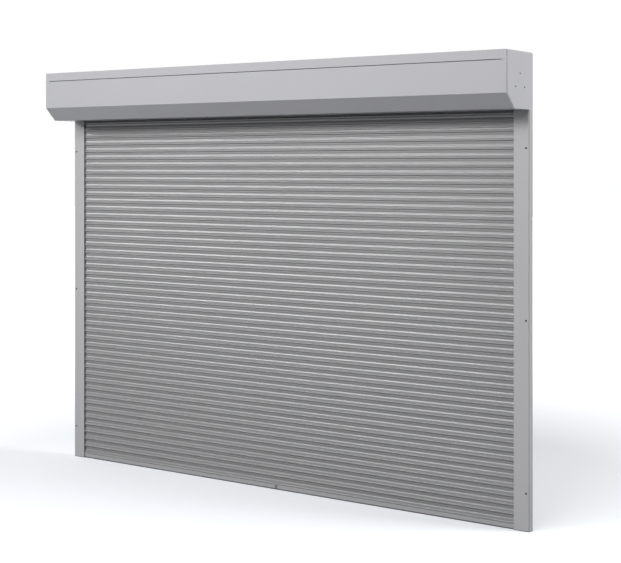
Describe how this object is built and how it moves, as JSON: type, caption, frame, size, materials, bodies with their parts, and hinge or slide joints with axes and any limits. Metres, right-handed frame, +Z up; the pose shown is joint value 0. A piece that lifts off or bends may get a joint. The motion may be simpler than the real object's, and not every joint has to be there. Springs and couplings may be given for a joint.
{
  "type": "roller shutter garage door",
  "caption": "Slatted roller shutter with a chamfered head box, two side guides, a motor barrel, and a bottom rail with a rubber seal.",
  "frame": {"origin": "middle of the opening at floor level, in the plane of the wall", "axes": "+X along the opening towards the motor side, +Y into the wall, +Z up; the street side is at -Y"},
  "size_m": [3.2844, 0.3, 2.505],
  "materials": {
    "slat_paint": "powder coated",
    "box_paint": "powder coated",
    "guide_paint": "powder coated",
    "rail_paint": "powder coated",
    "black_plastic": "matt",
    "brush_fibre": "fibrous",
    "white_plastic": "matt",
    "seal_rubber": "matt",
    "galvanised_steel": "galvanised",
    "motor_paint": "painted",
    "bearing_steel": "ground",
    "screw_steel": "plain"
  },
  "bodies": {
    "frame": {"end_plate_left": "box_paint", "end_plate_screws_left": "screw_steel", "guide_channel_left": "guide_paint", "guide_cover_left": "guide_paint", "guide_liner_left": "black_plastic", "guide_screws_left": "screw_steel", "guide_foot_left": "black_plastic", "inlet_funnel_left": "black_plastic", "end_plate_right": "box_paint", "end_plate_screws_right": "screw_steel", "guide_channel_right": "guide_paint", "guide_cover_right": "guide_paint", "guide_liner_right": "black_plastic", "guide_screws_right": "screw_steel", "guide_foot_right": "black_plastic", "inlet_funnel_right": "black_plastic", "top_cover": "box_paint", "back_cover": "box_paint", "inspection_cover": "box_paint", "cover_screws": "screw_steel", "mouth_brush": "brush_fibre", "cable_grommet": "seal_rubber", "motor_bracket": "galvanised_steel", "motor_head": "black_plastic", "motor_tube": "motor_paint", "bearing_holder": "galvanised_steel", "bearing_outer_ring": "bearing_steel"},
    "barrel": {"barrel_tube": "galvanised_steel", "drive_wheel": "white_plastic", "crown_ring": "white_plastic", "barrel_end_cap": "white_plastic", "idler_pin": "bearing_steel", "bearing_inner_ring": "bearing_steel", "hanger_straps": "galvanised_steel", "hanger_screws": "screw_steel", "motor_output_shaft": "bearing_steel"},
    "ball_cage": {"bearing_balls": "bearing_steel"},
    "rail_and_section_1": {"bottom_rail": "rail_paint", "bottom_seal": "seal_rubber", "rail_end_plug_left": "black_plastic", "rail_end_plug_right": "black_plastic", "travel_stop": "black_plastic", "slat_section_1": "slat_paint", "slat_end_clips_1": "black_plastic"},
    "section_2": {"slat_section_2": "slat_paint", "slat_end_clips_2": "black_plastic"},
    "section_3": {"slat_section_3": "slat_paint", "slat_end_clips_3": "black_plastic"},
    "section_4": {"slat_section_4": "slat_paint", "slat_end_clips_4": "black_plastic"},
    "section_5": {"slat_section_5": "slat_paint", "slat_end_clips_5": "black_plastic"},
    "section_6": {"slat_section_6": "slat_paint", "slat_end_clips_6": "black_plastic"},
    "section_7": {"slat_section_7": "slat_paint", "slat_end_clips_7": "black_plastic"},
    "section_8": {"slat_section_8": "slat_paint", "slat_end_clips_8": "black_plastic"}
  },
  "joints": [
    {"name": "curtain_lift", "type": "slide", "parent": "frame", "child": "rail_and_section_1", "axis": [0, 0, 1], "range_m": [0, 2.1765], "deforming": ["hanger_straps", "slat_section_2", "slat_end_clips_2", "slat_section_3", "slat_end_clips_3", "slat_section_4", "slat_end_clips_4", "slat_section_5", "slat_end_clips_5", "slat_section_6", "slat_end_clips_6", "slat_section_7", "slat_end_clips_7", "slat_section_8", "slat_end_clips_8"]},
    {"name": "section_2_lift", "type": "slide", "parent": "frame", "child": "section_2", "axis": [0, 0, 1], "range_m": [0, 1.8957]},
    {"name": "section_3_lift", "type": "slide", "parent": "frame", "child": "section_3", "axis": [0, 0, 1], "range_m": [0, 1.6143]},
    {"name": "section_4_lift", "type": "slide", "parent": "frame", "child": "section_4", "axis": [0, 0, 1], "range_m": [0, 1.3328]},
    {"name": "section_5_lift", "type": "slide", "parent": "frame", "child": "section_5", "axis": [0, 0, 1], "range_m": [0, 1.0514]},
    {"name": "section_6_lift", "type": "slide", "parent": "frame", "child": "section_6", "axis": [0, 0, 1], "range_m": [0, 0.77]},
    {"name": "section_7_lift", "type": "slide", "parent": "frame", "child": "section_7", "axis": [0, 0, 1], "range_m": [0, 0.4888]},
    {"name": "section_8_lift", "type": "slide", "parent": "frame", "child": "section_8", "axis": [0, 0, 1], "range_m": [0, 0.2074]},
    {"name": "barrel_spin", "type": "hinge", "parent": "frame", "child": "barrel", "pos_m": [0, -0.15, 2.355], "axis": [1, 0, 0], "range_deg": [0, 1563]},
    {"name": "ball_cage_spin", "type": "hinge", "parent": "frame", "child": "ball_cage", "pos_m": [-1.625, -0.15, 2.355], "axis": [1, 0, 0], "range_deg": [0, 656]}
  ],
  "couplings": [
    {"joint": "section_2_lift", "follows": "curtain_lift", "ratio": 0.8707},
    {"joint": "section_3_lift", "follows": "curtain_lift", "ratio": 0.7414},
    {"joint": "section_4_lift", "follows": "curtain_lift", "ratio": 0.6121},
    {"joint": "section_5_lift", "follows": "curtain_lift", "ratio": 0.4828},
    {"joint": "section_6_lift", "follows": "curtain_lift", "ratio": 0.3535},
    {"joint": "section_7_lift", "follows": "curtain_lift", "ratio": 0.2243},
    {"joint": "section_8_lift", "follows": "curtain_lift", "ratio": 0.095},
    {"joint": "barrel_spin", "follows": "curtain_lift", "rad_per_m": 12.53},
    {"joint": "ball_cage_spin", "follows": "curtain_lift", "rad_per_m": 5.26}
  ]
}
